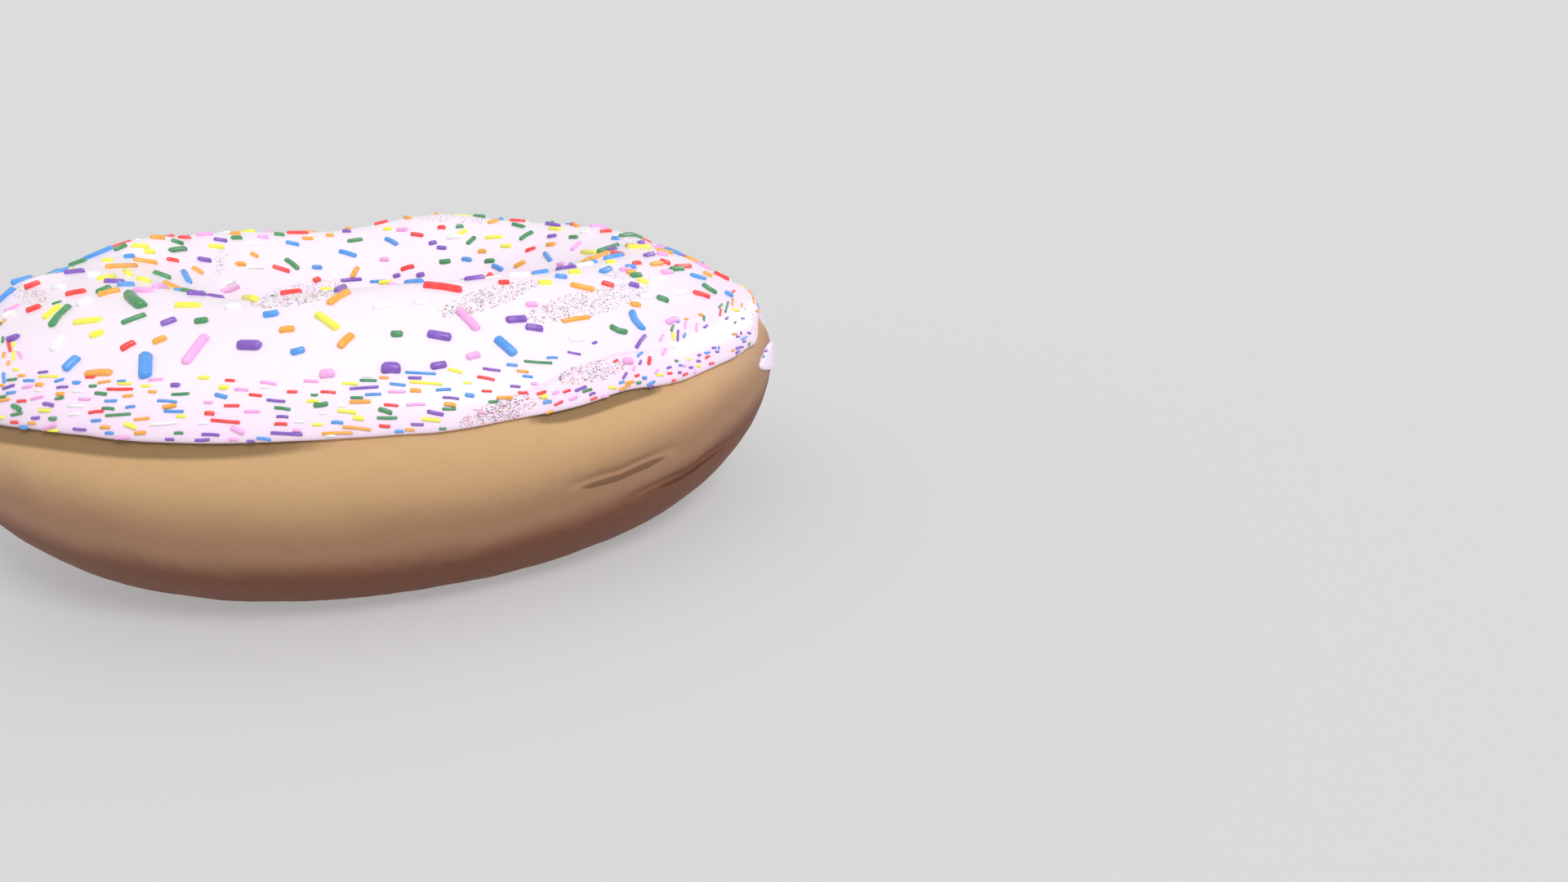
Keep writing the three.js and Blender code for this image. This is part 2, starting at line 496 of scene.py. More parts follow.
ripple(icing, **ICING_WAVE)
ripple(icing, **ICING_DIMPLE)
ripple(dough, **SKIN_SWELL)
ripple(dough, **SKIN_PUCKER)
open_on(dough, "points", lambda point: point.co.z < RESTING_SLACK)
bpy.ops.transform.resize(value=(1, 1, 0), center_override=(0, 0, 0))
close(dough)
bpy.ops.object.shade_smooth()
print("lowest point of the dough:", round(min(p.co.z for p in dough.data.vertices) / MM, 3), "mm")

# %% Raise the gobs and the ledge
GOBS = [(Dot(26, 359), Dot(46, 352)), (Dot(170, 306), Dot(200, 300))]
GOB_HEIGHT = 1.1 * MM
GOB_REACH = 3.2 * MM
LEDGE = (Dot(640, 480), Dot(652, 475), Dot(700, 453), Dot(754, 433), Dot(790, 429), Dot(830, 422))
LEDGE_HEIGHT = 0.36 * MM
LEDGE_REACH = 2.6 * MM
LEDGE_REACH_BELOW = 0.2 * MM

for gob in GOBS:
    push_along(icing, line_on(surface_of(icing), gob), GOB_HEIGHT, GOB_REACH)
ledge_line = line_on(surface_of(icing), LEDGE)
refine_along(icing, ledge_line, 1 * MM)
push_along(icing, ledge_line, LEDGE_HEIGHT, LEDGE_REACH, LEDGE_REACH_BELOW, tapered=True)
pick_up(icing)
bpy.ops.object.shade_smooth()
icing_surface = surface_of(icing)
print("icing top:", round(max(p.co.z for p in icing.data.vertices) / MM, 2), "mm")
print("icing:", count(icing), "thousand triangles")

# %% [markdown]
# In two places the shadow under the icing's lip is painted onto the crust, and so is the shade in
# the folds. How dark that painted shade makes each point is kept in an attribute, which the crust's
# finish reads.

# %% Paint the shade under the lip and in the folds
# stretches of the lip under which a shadow is painted, and folds in which shade is painted
LipShadow = namedtuple("LipShadow", "start end reach")  # from azimuth to azimuth, and millimetres
LIP_SHADOWS = [LipShadow(-178, -90, 1.7), LipShadow(-79, -53, 1.2)]
FOLD_SHADE_DROP = Vector((0, 0, 0.5)) * MM  # the painted shade of a fold is darkest this far below its line
FOLD_SHADE_REACH = 0.6 * MM


def fill_in(places, steps=6):
    """The places, with more of them on the straight way from each to the next."""
    pairs = zip(places, places[1:])
    return [start.lerp(end, step / steps) for start, end in pairs for step in range(steps)]


lip = sorted((lip_places[i] for i in outer_rim), key=lambda place: polar(place)[0])
marks = []
for line in crease_lines:
    marks.append(brush_along(dough, [place - FOLD_SHADE_DROP for place in line], FOLD_SHADE_REACH, tapered=True))
for start, end, reach in LIP_SHADOWS:
    stretch = [place for place in lip if start < polar(place)[0] < end]
    marks.append(brush_along(dough, fill_in(stretch), reach * MM, tapered=True))
browned = dough.data.attributes.new("browned", "FLOAT", "POINT")
browned.data.foreach_set("value", [max(of_point) for of_point in zip(*marks)])
print("browned points:", sum(datum.value > 0.5 for datum in browned.data))

# %% [markdown]
# ## One sprinkle
#
# A sprinkle is a short rod of coloured sugar, cut from a long string, with its cut ends worn round.
# It is a cylinder of eight sides with bevelled ends and one loop round its middle, so that it can be
# lengthened and bent without its ends changing shape. There are hundreds, so it has few faces, and
# smooth shading does the rest. It lies along X and is one unit thick.

# %% Model the sprinkle once
ROD_SIDES = 8
END_BEVEL = 0.27  # of the rod's thickness

bpy.ops.object.select_all(action="DESELECT")
bpy.ops.mesh.primitive_cylinder_add(
    vertices=ROD_SIDES, radius=0.5, depth=1, rotation=(0, math.radians(90), 0)
)
bpy.ops.object.transform_apply(location=True, rotation=True, scale=True)
rod = bpy.context.object
rod.name = "one_sprinkle"
open_on(rod, "faces", lambda face: abs(face.normal.x) > 0.9)
bpy.ops.mesh.bevel(offset=END_BEVEL, segments=2, affect="EDGES")
close(rod)
open_on(rod, "faces", lambda face: True)
bpy.ops.mesh.bisect(plane_co=(0, 0, 0), plane_no=(1, 0, 0))
close(rod)
bpy.ops.object.shade_smooth()
print("one sprinkle:", len(rod.data.polygons), "faces")

# %% Lay a sprinkle on the icing
ROD_SUNK = 0.4  # the share of its thickness that is pressed into the icing
MIDDLE_LOOP = 0.01  # of its thickness: points this near its middle stay there as it is lengthened


def lay(place, facing, along, length, thickness, bend=0.0):
    """A copy of the rod, at its own length, lying on the icing along a direction, a little bent."""
    turn = turn_to((along - facing * along.dot(facing)).normalized(), facing)
    copy = bpy.data.objects.new("sprinkle", rod.data.copy())
    bpy.context.collection.objects.link(copy)
    half_stretch = max(0.0, length / thickness - 1) / 2
    middle = place + facing * thickness * (0.5 - ROD_SUNK)
    for point in copy.data.vertices:
        x, y, z = point.co
        if abs(x) > MIDDLE_LOOP:
            x += math.copysign(half_stretch, x)
        y -= bend * (x / (half_stretch + 0.5)) ** 2
        point.co = middle + turn @ (Vector((x, y, z)) * thickness)
    return copy


def join(copies, name):
    """Joins copies into one piece of this name."""
    bpy.ops.object.select_all(action="DESELECT")
    for copy in copies:
        copy.select_set(True)
    bpy.context.view_layer.objects.active = copies[0]
    bpy.ops.object.join()
    copies[0].name = copies[0].data.name = name
    return copies[0]


# %% [markdown]
# ## The large sprinkles
#
# The ones in view are set one by one, as a food stylist would with tweezers: each is a place in the
# frame, how long it shows, and how far it leans up to the right, in degrees. Some are bent, and some
# are thicker than the rest. Both ends are followed onto the icing, which gives the true length and
# direction.

# %% Say where the large sprinkles show
Seen = namedtuple("Seen", "x y long lean bend thick", defaults=(0, 0, 1))
LARGE = {
    "red": [
        (40, 350, 20, 22), (42, 379, 17, 20), (94, 359, 24, 10), (157, 424, 20, 30), (211, 319, 15, -10),
        (226, 292, 14), (344, 330, 22, -18), (364, 286, 26), (499, 328, 17, 16), (511, 288, 15, -8),
        (541, 279, 10), (387, 343, 7, 25), (543, 353, 47, -7, 0.2, 1.3), (617, 347, 13, 2),
        (650, 306, 13, 20), (742, 284, 14, 4), (744, 349, 16, -15), (756, 311, 18, -12), (779, 323, 9, 5),
        (814, 322, 14, -18), (836, 327, 18, 3), (858, 361, 20, -16),
    ],
    "orange": [
        (122, 457, 32, 4), (134, 359, 28, 14), (150, 327, 38, 3), (178, 321, 30, -9), (193, 292, 18, -2),
        (196, 417, 18, 22), (242, 332, 15, -30), (294, 324, 11), (288, 287, 12), (311, 313, 10, -30),
        (352, 404, 19, 6), (377, 293, 13), (404, 289, 9), (414, 365, 29, 30), (423, 418, 23, 44),
        (434, 334, 15, 62), (591, 308, 10), (604, 272, 12, 16), (637, 324, 15, 26), (675, 300, 11, 6),
        (705, 391, 34, 9, 0, 0.75), (713, 353, 30, -12), (771, 302, 8), (773, 335, 13, -8),
        (778, 374, 12, -3), (803, 324, 13, 8), (866, 337, 12, -25),
    ],
    "yellow": [
        (64, 383, 24, 40), (108, 394, 33, 7), (119, 410, 18, 18), (132, 320, 13), (172, 302, 22, -6),
        (175, 344, 14, -16), (183, 309, 12), (231, 375, 31), (265, 303, 19, -5), (401, 394, 31, -35),
        (472, 346, 16, 4), (475, 281, 10), (566, 285, 12, 25), (605, 291, 21, 3), (620, 302, 13),
        (667, 347, 15), (680, 281, 15, -4), (703, 334, 14, 2), (722, 310, 18, -4), (787, 345, 14, -18),
        (748, 322, 10, 4),
    ],
    "green": [
        (72, 388, 33, 48, 0.3), (128, 356, 16, 25), (148, 304, 16, 25), (165, 369, 23, -42, 0, 1.4),
        (164, 391, 32, 20, 0, 0.85), (198, 338, 23, -20), (217, 297, 16, -18), (217, 306, 20, 7),
        (247, 394, 16, 6), (289, 292, 12, 3), (342, 288, 13, -6), (358, 324, 20, -38), (435, 295, 19, 8),
        (486, 410, 15), (545, 321, 14, 6), (563, 278, 9, 4), (577, 295, 13, 42), (600, 320, 12, 4),
        (635, 277, 15, -14), (644, 289, 18, 32, 0.2), (703, 291, 10), (757, 406, 23, -20, -0.45),
        (767, 289, 15, 2), (778, 338, 12, 6), (811, 367, 15, -18), (828, 330, 15, 4),
        (868, 355, 21, -32, -0.35),
    ],
    "blue": [
        (88, 446, 24, 44, 0, 1.15), (155, 350, 21), (158, 315, 13, 4), (179, 449, 28, 88, 0, 1.6),
        (228, 340, 16, -62), (332, 386, 19, 8), (358, 299, 17, -12), (365, 431, 18, 14), (388, 328, 12),
        (426, 311, 22, -16), (463, 345, 20, 2, 0, 0.7), (480, 296, 16, -28), (572, 318, 12, -8),
        (610, 328, 13, -25), (619, 425, 31, -41, 0, 1.4), (671, 315, 12, -52), (687, 340, 15, -6),
        (699, 328, 27, 17), (742, 332, 12, 22), (754, 293, 9, -4), (772, 328, 12),
        (777, 393, 27, -58, -0.4, 1.1), (855, 340, 18, -14), (892, 361, 9, -25),
    ],
    "purple": [
        (17, 415, 14, 18), (91, 334, 24, 6), (140, 346, 26, -2), (207, 395, 20, 20), (240, 361, 22, -4),
        (250, 319, 16, -8), (270, 295, 17, -8), (306, 424, 28, -2, 0, 1.35), (425, 284, 10),
        (430, 343, 26, 4, 0, 0.75), (479, 451, 14, 0, 0, 1.6), (486, 338, 9, 15), (515, 337, 8, 15),
        (530, 298, 10, 14), (537, 448, 20, 10), (538, 412, 30, -10, 0, 1.15), (541, 304, 12, -4),
        (632, 392, 25, 4, 0, 1.15), (654, 402, 22, -8), (676, 290, 11, 8), (677, 276, 16, -10),
        (750, 306, 15, -2), (776, 350, 12, -14), (784, 418, 19, 54, 0, 0.55), (794, 313, 11, 12),
    ],
    "pink": [
        (15, 378, 20, 24, 0, 0.6), (175, 357, 22), (240, 429, 43, 52, 0, 1.15), (251, 288, 19, 5),
        (282, 355, 20, 18), (322, 291, 14, -4), (401, 458, 18, 6, 0, 1.15), (471, 318, 11),
        (493, 282, 13), (573, 392, 34, -46, 0, 1.15), (579, 436, 17, 15), (651, 374, 14),
        (688, 324, 9, 10), (706, 302, 14, 42), (765, 331, 12, 5), (810, 312, 11, -5), (816, 334, 12, 3),
        (822, 393, 14, 18), (768, 442, 11),
    ],
    "white": [
        (12, 386, 13, 26), (71, 421, 22, 55), (72, 353, 13, 5), (104, 371, 18, 28), (115, 337, 16, 4),
        (280, 347, 14, 20), (286, 377, 19, 8), (311, 328, 20), (308, 299, 22), (470, 375, 26, 10),
        (516, 371, 18), (556, 291, 18, 6), (636, 338, 26), (706, 416, 18, 4), (717, 285, 13, 4),
        (806, 343, 20), (831, 359, 15), (790, 364, 14, -8),
    ],
}
print("large sprinkles in view:", {colour: len(sprinkles) for colour, sprinkles in LARGE.items()})

# %% Set them
ROD_THICKNESS = 0.76 * MM
SHORTEST_FOR_THICKNESS = 1.5
LONGEST_ROD = 5 * MM
UNEVEN_THICKNESS = (0.92, 1.08)
USUAL_BENDS = (0, 0, 0.1, -0.1, 0.16)
SEED = 7

chance = random.Random(SEED)
rods = {colour: [] for colour in LARGE}


def set_in_view(sprinkles, colour, usual_thickness):
    """Sets sprinkles where they show, and returns their places."""
    places = []
    for row in sprinkles:
        seen = Seen(*row)
        lean = math.radians(seen.lean)
        half = Vector((math.cos(lean), -math.sin(lean))) * seen.long / 2
        centre = Vector((seen.x, seen.y))
        here, *ends = (meets(icing_surface, Dot(*(centre + way * half))) for way in (0, 0.5, -0.5))
        if not here or not all(ends):
            print("missed:", colour, seen)
            continue
        along = ends[0][0] - ends[1][0]
        thickness = usual_thickness * seen.thick * chance.uniform(*UNEVEN_THICKNESS)
        length = min(max(2 * along.length, SHORTEST_FOR_THICKNESS * thickness), LONGEST_ROD)
        bend = seen.bend or chance.choice(USUAL_BENDS)
        rods[colour].append(lay(*here, along, length, thickness, bend))
        places.append(here[0])
    return places


large_places = []
for colour, sprinkles in LARGE.items():
    large_places += set_in_view(sprinkles, colour, ROD_THICKNESS)
print("large sprinkles set by hand:", len(large_places))

# %% [markdown]
# The ones out of view, on the far sides and down in the hole, are thrown at random, about as thickly,
# and never on top of each other.

# %% Throw the large sprinkles that are out of view
ROD_THROWS = 2400
ROD_SPACING = 3 * MM
SHOULDER_ANGLE = 36  # up the section: the large ones lie inwards of this
HOLE_ANGLE = 158
ROD_LENGTHS = (1.8 * MM, 4 * MM)
COLOURS = list(LARGE)
STANDS_UP = 0.8 * MM  # a place is in view if the eye sees a pin of this length stuck in it,
LEAST_FACING = 0.15  # and if the icing there is turned to the eye at least this much, of 1
DROPPED_FROM = 1.5  # from the middle of the section, in its radii


def drop(azimuth, section_angle):
    """Where something dropped on the icing at an azimuth and a section angle lands, and its facing."""
    out = outwards(azimuth)
    climb = math.radians(section_angle)
    away = out * math.cos(climb) + Vector((0, 0, math.sin(climb)))
    core = RING_AXIS + out * RING_RADIUS + Vector((0, 0, WAIST_HEIGHT))
    place, facing, _, _ = icing_surface.ray_cast(core + away * DROPPED_FROM * SECTION_RADIUS, -away)
    return (place, facing) if place else None


def in_view(place, facing):
    """Whether the camera sees something that lies at a place on the icing."""
    pin = place + facing * STANDS_UP
    seen_from = camera.matrix_world.inverted() @ pin
    x = FRAME_WIDTH / 2 - FOCAL_PIXELS * seen_from.x / seen_from.z
    sight = pin - EYE
    hidden_by = icing_surface.ray_cast(EYE, sight.normalized(), sight.length)[0]
    return x > 0 and not hidden_by and facing.dot(-sight.normalized()) > LEAST_FACING


def clear_of(places, place, spacing):
    """Whether a place is at least this far from all the others."""
    return all((place - other).length > spacing for other in places)


def throw(throws, angles, spacing, taken, lengths, thickness, lean=180):
    """Throws sprinkles between two section angles, where they are out of view and clear of the rest."""
    for _ in range(throws):
        landed = drop(chance.uniform(-180, 180), chance.uniform(*angles))
        if not landed or in_view(*landed) or not clear_of(taken, landed[0], spacing):
            continue
        taken.append(landed[0])
        direction = along_surface(landed[1], chance.uniform(-lean, lean))
        bend = chance.choice(USUAL_BENDS)
        own_thickness = thickness * chance.uniform(*UNEVEN_THICKNESS)
        rod_here = lay(*landed, direction, chance.uniform(*lengths), own_thickness, bend)
        rods[chance.choice(COLOURS)].append(rod_here)


set_by_hand = len(large_places)
throw(ROD_THROWS, (SHOULDER_ANGLE, HOLE_ANGLE), ROD_SPACING, large_places, ROD_LENGTHS, ROD_THICKNESS)
print("and thrown out of view:", len(large_places) - set_by_hand)

# %% [markdown]
# ## The small sprinkles
#
# Below the shoulder only the fine ones stick, because the big ones roll off. The icing was still
# sliding down when they landed, so most lie level, along the way round the ring.

# %% Say where the small sprinkles show
SMALL = {
    "red": [
        (11, 423, 16, -78), (27, 491, 11, 3), (18, 517, 9), (111, 462, 11), (147, 477, 32),
        (118, 504, 18, 6), (282, 466, 12, -3), (284, 497, 19), (257, 506, 12, -3, 0, 1.5),
        (276, 516, 36, -5), (313, 484, 16, -6), (358, 480, 13), (402, 480, 19, -4), (344, 519, 16, -1),
        (479, 496, 18, -5), (471, 522, 14, -5), (595, 463, 22, -11), (596, 479, 13, -2), (640, 481, 12),
        (663, 481, 12, 17), (694, 479, 10, 17), (684, 494, 12, 26), (727, 488, 9, 20), (754, 442, 6, 30),
        (795, 442, 10, 80, 0, 1.4), (780, 460, 6, 20), (820, 457, 6, 5), (839, 458, 7, 25),
        (825, 466, 5, 20), (866, 437, 6, 30), (882, 383, 8, 80), (898, 357, 4, 40), (871, 445, 6, 15),
    ],
    "orange": [
        (2, 472, 6), (5, 394, 7, 45), (5, 435, 6, 85), (11, 445, 5, 85), (27, 460, 8), (5, 490, 14, 10),
        (49, 471, 9, 0, 0, 1.4), (74, 483, 9, 0, 0, 1.4), (39, 518, 9), (128, 468, 16, 8),
        (187, 480, 10, -3), (157, 485, 13, 5), (208, 498, 17, 9, 0, 1.3), (129, 523, 12),
        (174, 513, 19, 5), (172, 530, 14, 4, 0, 1.2), (441, 492, 26, 2, 0, 1.2), (437, 524, 35, -6),
        (413, 530, 38, 1), (470, 463, 12, -2), (509, 478, 14, -3, 0, 1.5), (551, 495, 15, -8, 0, 1.4),
        (502, 526, 12, -4), (640, 455, 15, -6), (618, 487, 20, 0, 0, 1.2), (673, 504, 9, 20),
        (771, 468, 11, 12), (765, 474, 16, 28), (840, 391, 5), (858, 386, 5, 0, 0, 1.4),
        (897, 370, 8, 85), (908, 374, 4, 80), (899, 409, 6, 5), (897, 429, 4, 20),
    ],
    "yellow": [
        (17, 422, 6, 80), (17, 436, 10, 88), (20, 453, 8), (60, 461, 24), (55, 503, 14, 0, 0, 1.3),
        (65, 527, 13, -5), (1, 511, 8), (153, 470, 17), (160, 521, 15, -20, 0, 1.6),
        (250, 463, 14, 0, 0, 1.3), (179, 473, 12), (274, 475, 12, 0, 0, 1.6), (222, 510, 12),
        (383, 491, 15), (389, 520, 13), (429, 470, 20, -4), (425, 504, 24, -6, 0, 1.2),
        (439, 512, 14, -8, 0, 1.4), (522, 469, 40, -4), (558, 454, 18, -15, 0, 1.2),
        (528, 514, 23, -6, 0, 1.2), (572, 469, 10), (666, 486, 8, 0, 0, 1.7), (750, 475, 10),
        (808, 459, 9), (824, 412, 8, 90, 0, 1.4), (901, 380, 7, 0, 0, 1.5), (855, 448, 5), (843, 440, 4),
    ],
    "green": [
        (1, 397, 5, 60), (4, 416, 7, 85), (70, 371, 12, 17), (15, 465, 12, 7), (3, 486, 9, 5),
        (73, 488, 11, 10), (21, 499, 12, -30, 0, 1.5), (21, 507, 14, 11), (65, 513, 9, 0, 0, 1.3),
        (114, 473, 9, 3), (124, 482, 14, -6, 0, 1.3), (133, 500, 15, -4), (145, 508, 31, 4),
        (221, 483, 22, 3), (219, 530, 11), (385, 484, 9), (393, 496, 18, 8, 0, 1.5), (346, 500, 20, -7),
        (437, 487, 16), (451, 466, 21, -1), (472, 503, 18, -18, 0, 1.5), (474, 512, 25), (550, 501, 17),
        (542, 525, 9), (604, 492, 12, 2), (659, 444, 35, -4), (719, 478, 12, 18), (782, 469, 6, 10),
        (823, 402, 8, 68), (828, 442, 4), (862, 390, 6, 85), (882, 375, 6, 50), (890, 376, 13, 75),
        (917, 421, 4, 60), (900, 395, 3, 45),
    ],
    "blue": [
        (5, 463, 12, -85), (36, 466, 13), (73, 466, 12, 16), (94, 469, 9, 0, 0, 1.3), (14, 481, 11, 8),
        (30, 523, 8, 0, 0, 1.4), (149, 467, 10, 3), (136, 491, 15, 2), (118, 515, 12, 4), (134, 530, 10),
        (205, 491, 24, -4), (271, 485, 15, -14, 0, 1.5), (160, 498, 12, 8), (213, 504, 24, -1),
        (413, 517, 15, -3), (323, 537, 18, -8), (457, 483, 20, 2), (515, 457, 38, -3), (487, 471, 20, -6),
        (543, 477, 19, 3), (575, 484, 12, -8, 0, 1.4), (489, 528, 11), (676, 438, 14), (627, 447, 14, -5),
        (646, 461, 13, -6), (670, 492, 11, 10, 0, 1.3), (783, 434, 9, 42), (761, 468, 7, 20),
        (789, 463, 5, 0, 0, 1.4), (797, 469, 11, 28), (838, 411, 6, 65), (830, 394, 4, 30), (833, 447, 4),
        (866, 432, 7, 12), (911, 414, 7, 30), (880, 426, 4, 80), (935, 437, 3, 45),
    ],
    "purple": [
        (53, 456, 12, 5), (11, 474, 15, 18), (77, 474, 14, 4), (60, 495, 13, -12, 0, 1.3),
        (44, 512, 10, 5), (98, 526, 16, -4), (215, 472, 11, 0, 0, 1.6), (208, 538, 11), (248, 539, 18, 3),
        (258, 532, 22, -3), (307, 540, 10), (338, 491, 23, -5), (346, 510, 15, -2), (351, 531, 39, -3),
        (446, 475, 36, 4), (508, 463, 17, -1), (552, 487, 21, -5), (533, 506, 21, -12, 0, 1.2),
        (511, 520, 16, -2), (602, 453, 22, -8), (631, 473, 13, -4), (703, 433, 17, -11),
        (711, 476, 15, 22), (725, 482, 8, 22), (728, 420, 6, 20), (784, 444, 6, 65), (765, 460, 9, 57),
        (797, 473, 6, 25), (830, 411, 13, 87), (819, 450, 6, 20), (832, 456, 4, 10), (846, 450, 5),
        (855, 442, 5), (864, 400, 6, 35), (890, 390, 4, 35), (909, 390, 4), (903, 412, 4, 5),
        (907, 408, 4, -75), (903, 426, 5, 20), (911, 418, 4, 15), (917, 408, 4, -15), (908, 425, 4, 10),
        (903, 431, 6, 40), (856, 435, 4, 15), (874, 426, 5, 5), (878, 431, 4), (938, 430, 3, 45),
    ],
    "pink": [
        (25, 435, 9, -60), (34, 474, 13, 10), (46, 487, 16, 14), (61, 523, 17, 22, 0, 1.3),
        (104, 489, 15), (150, 536, 18, 4), (191, 465, 18, 4), (296, 477, 17, -3), (255, 493, 11),
        (309, 504, 20), (291, 527, 18, -24, 0, 1.5), (286, 538, 11), (329, 469, 20, -8),
        (381, 467, 18, -3), (364, 527, 11, -3), (486, 480, 22), (509, 495, 24, 3), (588, 505, 8),
        (654, 470, 9), (680, 481, 9, 20), (702, 488, 11, 20), (741, 485, 8, 10), (776, 451, 6, 65),
        (804, 455, 7, 55), (813, 431, 9, 58), (810, 414, 9, 60), (839, 398, 9, 80), (853, 401, 10, 85),
        (838, 448, 5, 10), (851, 455, 5, 60),
    ],
    "white": [
        (93, 497, 20), (91, 507, 13, 5), (95, 479, 12), (47, 478, 9), (200, 519, 34, 5), (249, 518, 12),
        (325, 474, 12), (367, 516, 14), (396, 506, 10), (419, 497, 10), (405, 533, 12), (450, 461, 12),
        (868, 380, 5, 50),
    ],
}
print("small sprinkles in view:", {colour: len(sprinkles) for colour, sprinkles in SMALL.items()})

# %% Stick them to the side, and throw the rest
FINE_THICKNESS = 0.3 * MM
FINE_THROWS = 3000
FINE_SPACING = 1.45 * MM
FINE_LENGTHS = (0.9 * MM, 2.7 * MM)
LIP_ANGLE = 19
FINE_LEAN = 20  # degrees off level

small_places = []
for colour, sprinkles in SMALL.items():
    small_places += set_in_view(sprinkles, colour, FINE_THICKNESS)
set_by_hand = len(small_places)
side = (LIP_ANGLE, SHOULDER_ANGLE)
throw(FINE_THROWS, side, FINE_SPACING, small_places, FINE_LENGTHS, FINE_THICKNESS, FINE_LEAN)
print("small sprinkles set by hand:", set_by_hand, "and thrown:", len(small_places) - set_by_hand)

sprinkles = {colour: join(copies, f"sprinkles_{colour}") for colour, copies in rods.items()}
bpy.data.objects.remove(rod)
print("thousand triangles:", {colour: count(piece) for colour, piece in sprinkles.items()})

# %% [markdown]
# ## Fine sugar
#
# Sprinkles rub together in the tub, and the splinters that come off fall in patches. They are drawn
# darker than the sprinkles as painted shade. Each is an icosphere of twenty faces, drawn out along the
# way it lies, with its own colour kept in a colour attribute that the material reads.

# %% Make one speck, and say where the patches are
SPECK_WIDTHS = (0.045 * MM, 0.085 * MM)
SPECK_STRETCH = (1.4, 4.5)  # how many times as long as wide
SPECK_LEAN = 40  # degrees off level
SPECK_PAINTED_SHADE = (0.3, 0.9)  # of the sprinkle's own colour, darker as painted shade
SPECK_HEIGHT = 0.8  # of its width
SPECK_RAISED = 0.2  # of its width: its middle is this far over the icing
SUGAR_COLOURS = {  # red, green and blue light, from 0 to 1
    "red": (0.95, 0.06, 0.055),
    "orange": (0.95, 0.42, 0.05),
    "yellow": (0.95, 0.94, 0.085),
    "green": (0.063, 0.3, 0.11),
    "blue": (0.085, 0.34, 0.84),
    "purple": (0.24, 0.105, 0.53),
    "pink": (0.95, 0.44, 0.83),
    "white": (0.95, 0.95, 0.95),
}
Patch = namedtuple("Patch", "x y wide high lean")  # an oval in the frame, in pixels and degrees
PATCHES = [
    Patch(368, 360, 126, 26, 12),
    Patch(598, 365, 130, 26, 18),
    Patch(720, 371, 155, 34, 14),
    Patch(724, 456, 84, 26, 12),
    Patch(612, 504, 104, 30, 20),
    Patch(36, 361, 44, 26, -15),
    Patch(545, 267, 100, 13, -5),
    Patch(782, 298, 50, 16, -22),
    Patch(922, 385, 20, 52, 15),
    Patch(270, 322, 15, 38, -12),
    Patch(755, 338, 30, 10, -8),
]
SPECKS_IN_100_PIXELS = 19

bpy.ops.object.select_all(action="DESELECT")
bpy.ops.mesh.primitive_ico_sphere_add(subdivisions=1, radius=0.5)
grain = bpy.context.object
grain.data.color_attributes.new("tint", "FLOAT_COLOR", "POINT")
grains = []


def sprinkle_grain(place, facing):
    """Leaves one speck of sugar on the icing."""
    width = chance.uniform(*SPECK_WIDTHS)
    copy = bpy.data.objects.new("grain", grain.data.copy())
    bpy.context.collection.objects.link(copy)
    turn = turn_to(along_surface(facing, chance.uniform(-SPECK_LEAN, SPECK_LEAN)), facing)
    shape = Matrix.Diagonal((width * chance.uniform(*SPECK_STRETCH), width, SPECK_HEIGHT * width))
    middle = Matrix.Translation(place + facing * SPECK_RAISED * width)
    copy.data.transform(middle @ (turn @ shape).to_4x4())
    # painted shade: each speck is drawn darker than its sprinkle
    shade = chance.uniform(*SPECK_PAINTED_SHADE)
    tint = [shade * light for light in SUGAR_COLOURS[chance.choice(COLOURS)]]
    for datum in copy.data.color_attributes["tint"].data:
        datum.color = (*tint, 1)
    grains.append(copy)


# %% Scatter the patches in view
EDGE_THINNING = 0.6  # 0.5 would fill an oval evenly; more leaves its edge thinner


def somewhere_in(wide, high):
    """A random place in an oval, a little thinner towards its edge."""
    turn = chance.uniform(0, 2 * math.pi)
    out = chance.uniform(0, 1) ** EDGE_THINNING
    return Vector((math.cos(turn) * wide / 2, math.sin(turn) * high / 2)) * out


for patch in PATCHES:
    tilt = Matrix.Rotation(math.radians(-patch.lean), 2)
    area = math.pi / 4 * patch.wide * patch.high
    for _ in range(round(area / 100 * SPECKS_IN_100_PIXELS)):
        spot = tilt @ somewhere_in(patch.wide, patch.high)
        landed = meets(icing_surface, Dot(patch.x + spot.x, patch.y + spot.y))
        if landed:
            sprinkle_grain(*landed)
print("specks in view:", len(grains))

# %% And as many round the back
HIDDEN_PATCHES = [(35, 50), (70, 28), (118, 60), (150, 120), (172, 30), (-172, 75), (-100, 130)]
PATCH_SPREAD = (9, 7)  # degrees round the ring, and up the section
SPECKS_IN_HIDDEN_PATCH = 130

for azimuth, section_angle in HIDDEN_PATCHES:
    for _ in range(SPECKS_IN_HIDDEN_PATCH):
        spot = somewhere_in(*(2 * spread for spread in PATCH_SPREAD))
        landed = drop(azimuth + spot.x, section_angle + spot.y)
        if landed and not in_view(*landed):
            sprinkle_grain(*landed)
specks = join(grains, "sugar_specks")
bpy.data.objects.remove(grain)
print("specks:", len(grains), "thousand triangles:", count(specks))

# %% [markdown]
# ## Writing finishes as sums
#
# A finish is a tree of nodes. So that it reads like the sums it stands for, one small class wraps an
# output socket and turns +, - and * into Math nodes, and another adds any other node.

# %% Sockets with arithmetic
class Level:
    """A number that varies over a surface: an output socket that can be added, multiplied and so on."""

    def __init__(self, finish, socket):
        self.finish = finish
        self.socket = socket

    def worked(self, operation, *terms):
        return self.finish.node("Math", {"operation": operation}, dict(enumerate(terms)))

    def __add__(self, other):
        return self.worked("ADD", self, other)

    def __sub__(self, other):
        return self.worked("SUBTRACT", self, other)

    def __rsub__(self, other):
        return self.worked("SUBTRACT", other, self)

    def __mul__(self, other):
        return self.worked("MULTIPLY", self, other)

    __radd__ = __add__
    __rmul__ = __mul__

    def rises(self, low, high):
        """0 below low, 1 above high, and smooth between."""
        sockets = {"Value": self, "From Min": low, "From Max": high}
        return self.finish.node("MapRange", {"interpolation_type": "SMOOTHSTEP"}, sockets)


